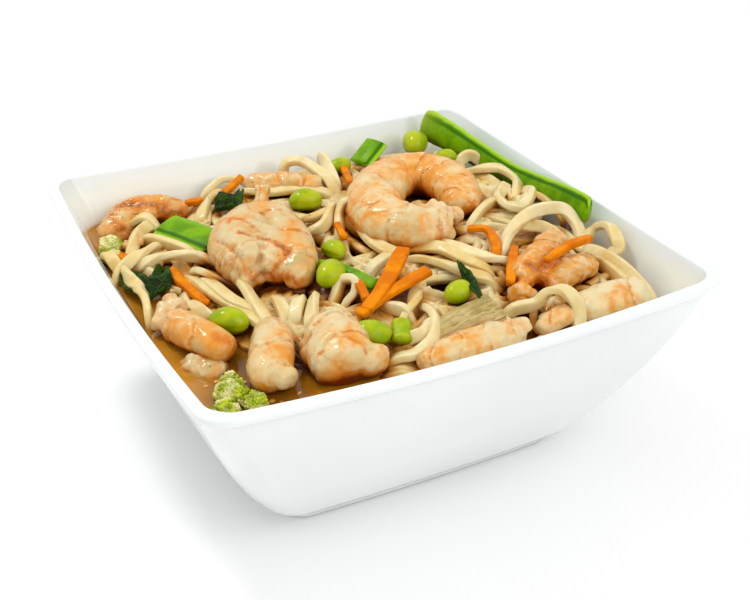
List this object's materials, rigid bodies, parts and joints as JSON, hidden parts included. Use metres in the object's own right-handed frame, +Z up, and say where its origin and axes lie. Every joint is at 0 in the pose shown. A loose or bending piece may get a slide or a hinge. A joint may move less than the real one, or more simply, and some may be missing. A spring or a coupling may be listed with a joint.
{
  "type": "bowl of prawn noodle soup",
  "caption": "Square white porcelain bowl filled with noodle soup, topped with prawns, edamame beans, snow pea pods, carrot strips and broccoli.",
  "frame": {"origin": "bottom centre of the bowl's foot, on the surface it stands on", "axes": "+Z up out of the bowl; X and Y along the bowl's sides, -Y being the side nearest the picture's viewer and -X the side at the left, so that the camera looks from between -X and -Y"},
  "size_m": [0.1852, 0.1852, 0.0801],
  "materials": {
    "porcelain": "white glaze, glossy",
    "broth": "clear brown broth, wet and glossy",
    "noodle": "boiled wheat noodle, pale cream, moist",
    "prawn": "cooked prawn, cream with orange bands, moist",
    "bean": "yellow-green edamame bean, glossy",
    "pod": "bright green pea pod, satin",
    "carrot": "orange carrot strip, satin",
    "broccoli": "yellow-green broccoli crown, rough",
    "leaf": "dark green cooked leaf, satin",
    "stalk": "pale translucent stalk with fine ribs",
    "spring_onion": "green cut tube, satin"
  },
  "bodies": {
    "root": {"bowl": "porcelain", "broth": "broth", "noodles": "noodle", "stalk": "stalk", "spring_onion": "spring_onion", "prawn_1": "prawn", "prawn_2": "prawn", "prawn_3": "prawn", "prawn_4": "prawn", "prawn_5": "prawn", "prawn_6": "prawn", "prawn_7": "prawn", "prawn_8": "prawn", "prawn_9": "prawn", "prawn_10": "prawn", "prawn_11": "prawn", "bean_1": "bean", "bean_2": "bean", "bean_3": "bean", "bean_4": "bean", "bean_5": "bean", "bean_6": "bean", "bean_7": "bean", "bean_8": "bean", "bean_9": "bean", "pod_1": "pod", "pod_2": "pod", "pod_3": "pod", "pod_4": "pod", "carrot_1": "carrot", "carrot_2": "carrot", "carrot_3": "carrot", "carrot_4": "carrot", "carrot_5": "carrot", "carrot_6": "carrot", "carrot_7": "carrot", "carrot_8": "carrot", "carrot_9": "carrot", "carrot_10": "carrot", "carrot_11": "carrot", "carrot_12": "carrot", "broccoli_1": "broccoli", "broccoli_2": "broccoli", "leaf_1": "leaf", "leaf_2": "leaf", "leaf_3": "leaf", "leaf_4": "leaf"}
  },
  "joints": []
}
